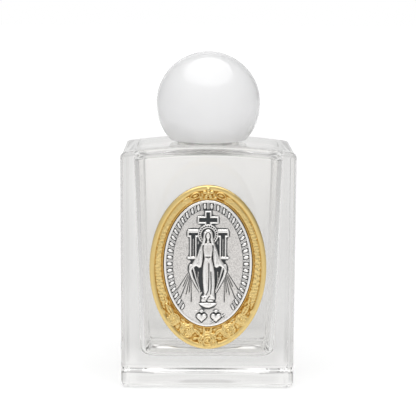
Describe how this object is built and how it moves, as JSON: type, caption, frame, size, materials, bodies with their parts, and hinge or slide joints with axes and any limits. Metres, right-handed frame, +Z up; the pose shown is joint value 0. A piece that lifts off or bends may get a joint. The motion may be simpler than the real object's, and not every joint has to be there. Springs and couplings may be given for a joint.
{
  "type": "holy water bottle",
  "caption": "Rectangular clear glass flacon with a white ball screw cap and a gold-tone oval frame with a silver-tone relief medal on its front.",
  "frame": {"origin": "centre of the flat base, below the neck axis", "axes": "+Z up along the neck axis, +X to the right of the medal as it is looked at, -Y out of the front that carries the medal"},
  "size_m": [0.05, 0.0351, 0.0965],
  "materials": {
    "clear_glass": "polished clear flint glass",
    "plug_plastic": "translucent natural polyethylene",
    "white_gloss": "high-gloss white",
    "white_insert": "satin white polypropylene",
    "liner_foam": "matte foamed polyethylene",
    "gold_tone": "satin gold-tone plating with matte recesses",
    "antique_silver": "antiqued silver plating with dark recesses",
    "adhesive": "matte pale foam adhesive"
  },
  "bodies": {
    "bottle": {"glass_bottle": "clear_glass", "pour_insert": "plug_plastic", "medal_frame": "gold_tone", "medal": "antique_silver", "adhesive_pad": "adhesive"},
    "liner": {"cap_liner": "liner_foam"},
    "cap": {"cap_ball": "white_gloss", "cap_insert": "white_insert"}
  },
  "joints": [
    {"name": "cap_lift", "type": "slide", "parent": "bottle", "child": "liner", "axis": [0, 0, 1], "range_m": [0, 0.016]},
    {"name": "cap_turn", "type": "hinge", "parent": "liner", "child": "cap", "pos_m": [0, 0, 0.0813], "axis": [0, 0, 1], "range_deg": [0, 1800]}
  ],
  "couplings": [
    {"joint": "cap_lift", "follows": "cap_turn", "m_per_rad": 0.00050532}
  ]
}
